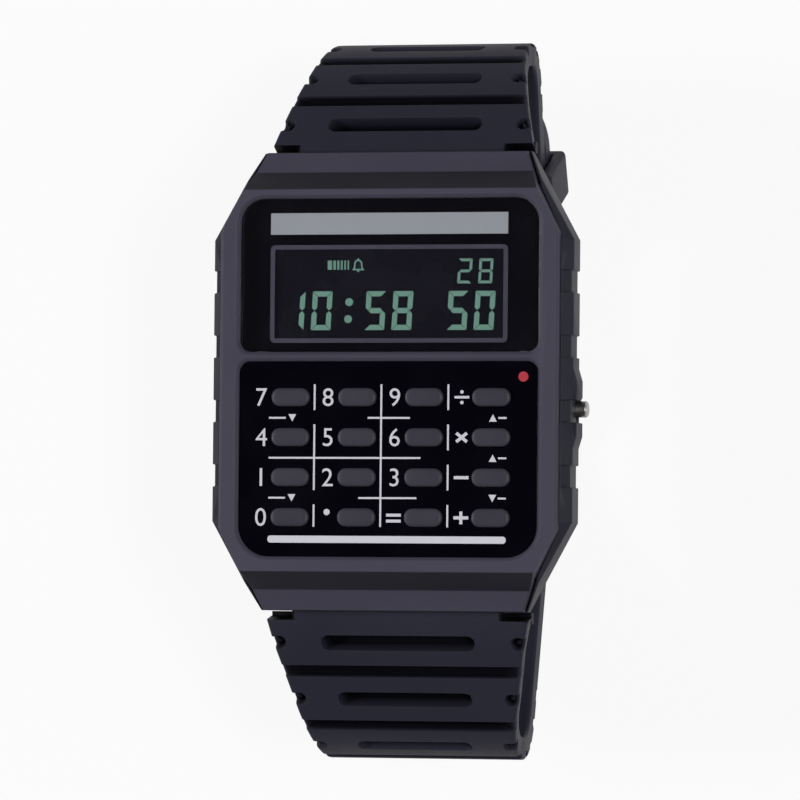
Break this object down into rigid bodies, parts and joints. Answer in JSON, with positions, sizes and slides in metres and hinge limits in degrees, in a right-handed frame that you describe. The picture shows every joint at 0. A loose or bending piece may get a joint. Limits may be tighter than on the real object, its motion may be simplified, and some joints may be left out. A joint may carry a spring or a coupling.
{
  "type": "calculator watch",
  "caption": "Digital wristwatch with a keypad below its display, a resin case and a buckled resin strap closed into a loop.",
  "frame": {"origin": "centre of the case back's outer face; the strap's loop hangs below it", "axes": "+Z out of the display, +Y towards 12 o'clock, +X towards 3 o'clock"},
  "size_m": [0.0358, 0.0695, 0.0368],
  "materials": {
    "bezel_resin": "fine matte",
    "case_resin": "fine matte",
    "strap_resin": "matte",
    "window": "clear",
    "printed_plate": "gloss black",
    "silver_print": "metallic print",
    "grey_print": "print",
    "lcd_glass": "gloss",
    "key_resin": "satin",
    "dome_film": "film",
    "module_resin": "moulded",
    "rubber_parts": "matte",
    "board": "solder mask",
    "chip_resin": "moulded",
    "steel": "brushed",
    "buckle_steel": "satin",
    "brass": "rolled"
  },
  "bodies": {
    "case": {"bezel": "bezel_resin", "case_body": "case_resin", "strap_12": "strap_resin", "strap_6": "strap_resin", "display_window": "window", "dial_plate": "printed_plate", "keypad_panel": "printed_plate", "header_strip": "silver_print", "lcd_frame": "grey_print", "lcd_panel": "lcd_glass", "dome_sheet": "dome_film", "module_frame": "module_resin", "rear_frame": "module_resin", "connector_strips": "rubber_parts", "back_gasket": "rubber_parts", "pusher_seal": "rubber_parts", "circuit_board": "board", "chip": "chip_resin", "crystal": "steel", "battery": "steel", "battery_clip": "steel", "buzzer_spring": "steel", "case_back": "steel", "back_screws": "steel", "pusher_spring": "steel", "spring_bar_12": "steel", "spring_bar_6": "steel", "buckle_bar": "steel", "buckle_frame": "buckle_steel", "buzzer_disc": "brass"},
    "key_7": {"key_7": "key_resin"},
    "key_8": {"key_8": "key_resin"},
    "key_9": {"key_9": "key_resin"},
    "key_divide": {"key_divide": "key_resin"},
    "key_4": {"key_4": "key_resin"},
    "key_5": {"key_5": "key_resin"},
    "key_6": {"key_6": "key_resin"},
    "key_multiply": {"key_multiply": "key_resin"},
    "key_1": {"key_1": "key_resin"},
    "key_2": {"key_2": "key_resin"},
    "key_3": {"key_3": "key_resin"},
    "key_minus": {"key_minus": "key_resin"},
    "key_0": {"key_0": "key_resin"},
    "key_point": {"key_point": "key_resin"},
    "key_equals": {"key_equals": "key_resin"},
    "key_plus": {"key_plus": "key_resin"},
    "pusher": {"pusher": "steel", "pusher_clip": "steel"},
    "tongue": {"tongue": "steel"},
    "keeper": {"keeper": "strap_resin"}
  },
  "joints": [
    {"name": "key_7_press", "type": "slide", "parent": "case", "child": "key_7", "axis": [0, 0, 1], "range_m": [-0.00035, 0], "stiffness_N_per_m": 40},
    {"name": "key_8_press", "type": "slide", "parent": "case", "child": "key_8", "axis": [0, 0, 1], "range_m": [-0.00035, 0], "stiffness_N_per_m": 40},
    {"name": "key_9_press", "type": "slide", "parent": "case", "child": "key_9", "axis": [0, 0, 1], "range_m": [-0.00035, 0], "stiffness_N_per_m": 40},
    {"name": "key_divide_press", "type": "slide", "parent": "case", "child": "key_divide", "axis": [0, 0, 1], "range_m": [-0.00035, 0], "stiffness_N_per_m": 40},
    {"name": "key_4_press", "type": "slide", "parent": "case", "child": "key_4", "axis": [0, 0, 1], "range_m": [-0.00035, 0], "stiffness_N_per_m": 40},
    {"name": "key_5_press", "type": "slide", "parent": "case", "child": "key_5", "axis": [0, 0, 1], "range_m": [-0.00035, 0], "stiffness_N_per_m": 40},
    {"name": "key_6_press", "type": "slide", "parent": "case", "child": "key_6", "axis": [0, 0, 1], "range_m": [-0.00035, 0], "stiffness_N_per_m": 40},
    {"name": "key_multiply_press", "type": "slide", "parent": "case", "child": "key_multiply", "axis": [0, 0, 1], "range_m": [-0.00035, 0], "stiffness_N_per_m": 40},
    {"name": "key_1_press", "type": "slide", "parent": "case", "child": "key_1", "axis": [0, 0, 1], "range_m": [-0.00035, 0], "stiffness_N_per_m": 40},
    {"name": "key_2_press", "type": "slide", "parent": "case", "child": "key_2", "axis": [0, 0, 1], "range_m": [-0.00035, 0], "stiffness_N_per_m": 40},
    {"name": "key_3_press", "type": "slide", "parent": "case", "child": "key_3", "axis": [0, 0, 1], "range_m": [-0.00035, 0], "stiffness_N_per_m": 40},
    {"name": "key_minus_press", "type": "slide", "parent": "case", "child": "key_minus", "axis": [0, 0, 1], "range_m": [-0.00035, 0], "stiffness_N_per_m": 40},
    {"name": "key_0_press", "type": "slide", "parent": "case", "child": "key_0", "axis": [0, 0, 1], "range_m": [-0.00035, 0], "stiffness_N_per_m": 40},
    {"name": "key_point_press", "type": "slide", "parent": "case", "child": "key_point", "axis": [0, 0, 1], "range_m": [-0.00035, 0], "stiffness_N_per_m": 40},
    {"name": "key_equals_press", "type": "slide", "parent": "case", "child": "key_equals", "axis": [0, 0, 1], "range_m": [-0.00035, 0], "stiffness_N_per_m": 40},
    {"name": "key_plus_press", "type": "slide", "parent": "case", "child": "key_plus", "axis": [0, 0, 1], "range_m": [-0.00035, 0], "stiffness_N_per_m": 40},
    {"name": "pusher_press", "type": "slide", "parent": "case", "child": "pusher", "axis": [1, 0, 0], "range_m": [-0.0007, 0], "stiffness_N_per_m": 100},
    {"name": "tongue_swing", "type": "hinge", "parent": "case", "child": "tongue", "pos_m": [0, 0.003, -0.02336], "axis": [1, 0, 0], "range_deg": [0, 6]},
    {"name": "keeper_slide", "type": "slide", "parent": "case", "child": "keeper", "axis": [0, 0.9135, 0.4067], "range_m": [0, 0.003]}
  ]
}
